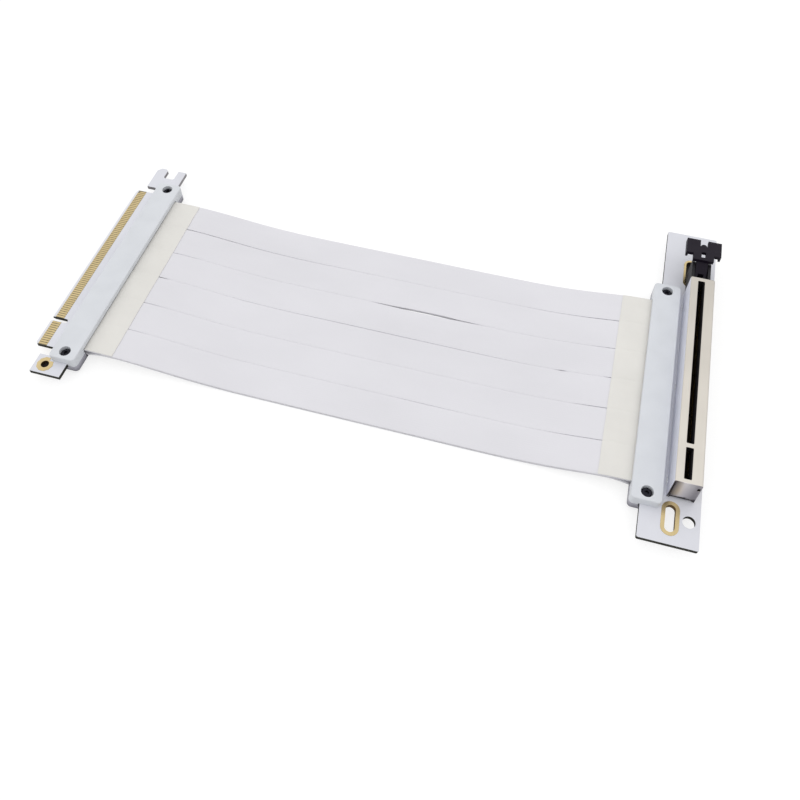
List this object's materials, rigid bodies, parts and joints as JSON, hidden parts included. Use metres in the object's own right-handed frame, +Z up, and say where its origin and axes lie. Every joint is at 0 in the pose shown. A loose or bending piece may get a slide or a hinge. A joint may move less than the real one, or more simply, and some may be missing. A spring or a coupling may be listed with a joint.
{
  "type": "gpu riser cable",
  "caption": "Flat flexible riser cable that carries a graphics card slot away from a mainboard: card-edge plug board, layered ribbons and a shielded slot with latch.",
  "frame": {"origin": "middle of the footprint, on the surface that it lies on", "axes": "+X along the cable from the plug board to the socket board, +Y along the connectors from the fixing tab to the latch, +Z up"},
  "size_m": [0.244, 0.1384, 0.0168],
  "materials": {
    "board_white": "satin white solder mask on glass-epoxy board with dark cut edges",
    "cover_white": "smooth satin white moulded plastic",
    "ribbon_white": "soft white film jacket, slightly crinkled",
    "tape_cream": "matt cream adhesive tape",
    "screw_black": "black oxide steel",
    "slot_black": "matt black glass-filled moulding",
    "shield_steel": "bright rolled steel sheet",
    "latch_black": "satin black moulding"
  },
  "bodies": {
    "riser": {"plug_board": "board_white", "plug_upper_cover": "cover_white", "plug_lower_cover": "cover_white", "plug_screw_near": "screw_black", "plug_screw_far": "screw_black", "socket_board": "board_white", "socket_upper_cover": "cover_white", "socket_lower_cover": "cover_white", "socket_screw_near": "screw_black", "socket_screw_far": "screw_black", "slot_housing": "slot_black", "slot_shield": "shield_steel", "ribbon_upper_1": "ribbon_white", "ribbon_upper_2": "ribbon_white", "ribbon_upper_3": "ribbon_white", "ribbon_upper_4": "ribbon_white", "ribbon_upper_5": "ribbon_white", "ribbon_upper_6": "ribbon_white", "ribbon_lower_1": "ribbon_white", "ribbon_lower_2": "ribbon_white", "ribbon_lower_3": "ribbon_white", "ribbon_lower_4": "ribbon_white", "ribbon_lower_5": "ribbon_white", "ribbon_lower_6": "ribbon_white", "plug_tape_upper": "tape_cream", "plug_tape_lower": "tape_cream", "socket_tape_upper": "tape_cream", "socket_tape_lower": "tape_cream"},
    "latch": {"slot_latch": "latch_black"}
  },
  "joints": [
    {"name": "latch_hinge", "type": "hinge", "parent": "riser", "child": "latch", "pos_m": [0.11453, 0.04385, 0.008], "axis": [-1, 0, 0], "range_deg": [0, 25]}
  ]
}
